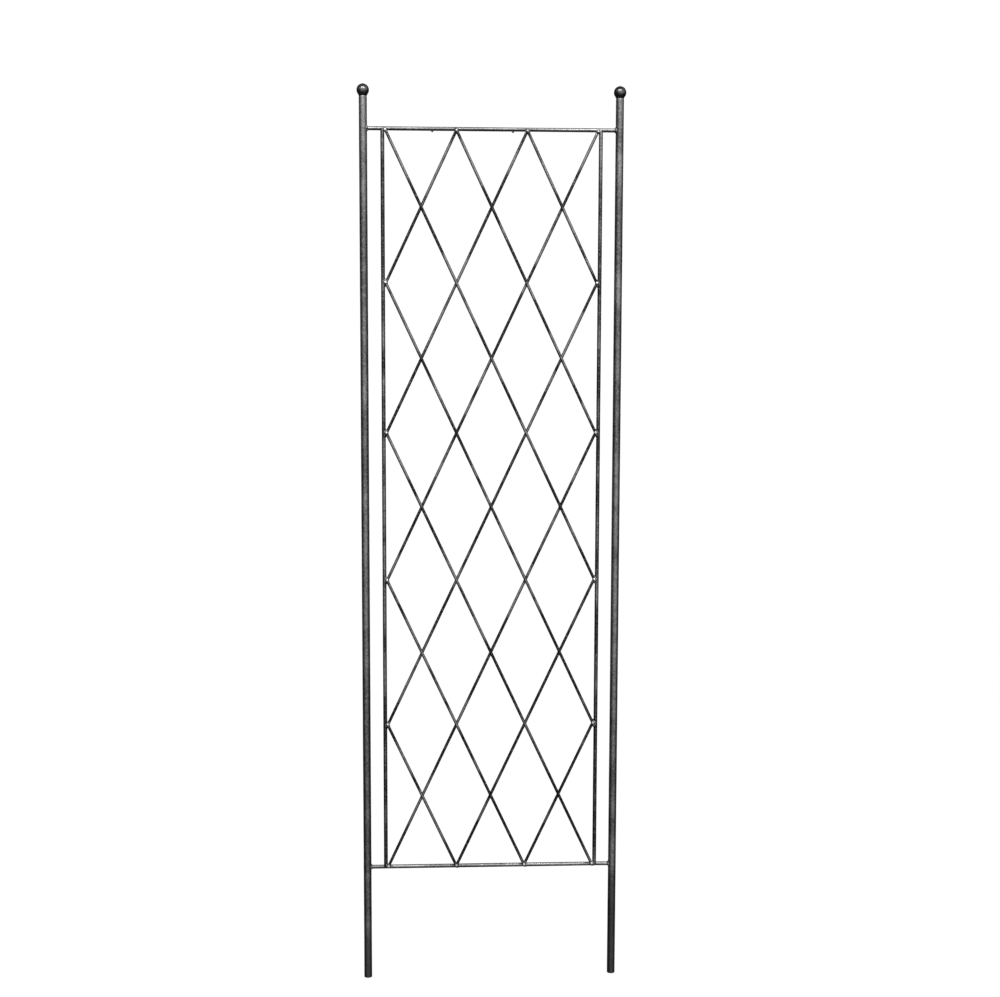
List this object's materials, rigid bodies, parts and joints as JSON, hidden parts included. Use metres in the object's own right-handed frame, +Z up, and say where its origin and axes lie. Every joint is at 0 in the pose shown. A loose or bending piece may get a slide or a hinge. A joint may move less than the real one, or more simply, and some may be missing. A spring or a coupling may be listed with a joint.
{
  "type": "garden trellis panel",
  "caption": "Flat steel garden trellis: round posts with ball finials, crossbars, slim side bars and a welded lattice of straight diagonal rods, held up by its legs in soil.",
  "frame": {"origin": "midway between the feet, on the line between the two posts' axes, level with the cut ends of the legs", "axes": "+X runs to the right along the panel seen from its front, -Y is the front, which carries the side bars and rods, +Z is up the posts"},
  "size_m": [0.525, 0.0284, 1.7939],
  "materials": {
    "coated_steel": "dark satin coat with a fine mottle",
    "coated_weld": "the same coat over smooth weld, a little glossier"
  },
  "bodies": {
    "root": {"post_left": "coated_steel", "post_right": "coated_steel", "finial_left": "coated_steel", "finial_right": "coated_steel", "crossbar_top": "coated_steel", "crossbar_bottom": "coated_steel", "side_bar_left": "coated_steel", "side_bar_right": "coated_steel", "falling_rod_1": "coated_steel", "falling_rod_2": "coated_steel", "falling_rod_3": "coated_steel", "falling_rod_4": "coated_steel", "falling_rod_5": "coated_steel", "falling_rod_6": "coated_steel", "falling_rod_7": "coated_steel", "rising_rod_1": "coated_steel", "rising_rod_2": "coated_steel", "rising_rod_3": "coated_steel", "rising_rod_4": "coated_steel", "rising_rod_5": "coated_steel", "rising_rod_6": "coated_steel", "rising_rod_7": "coated_steel", "finial_welds": "coated_weld", "post_welds": "coated_weld", "corner_welds": "coated_weld", "crossbar_welds": "coated_weld", "side_bar_welds": "coated_weld"}
  },
  "joints": []
}
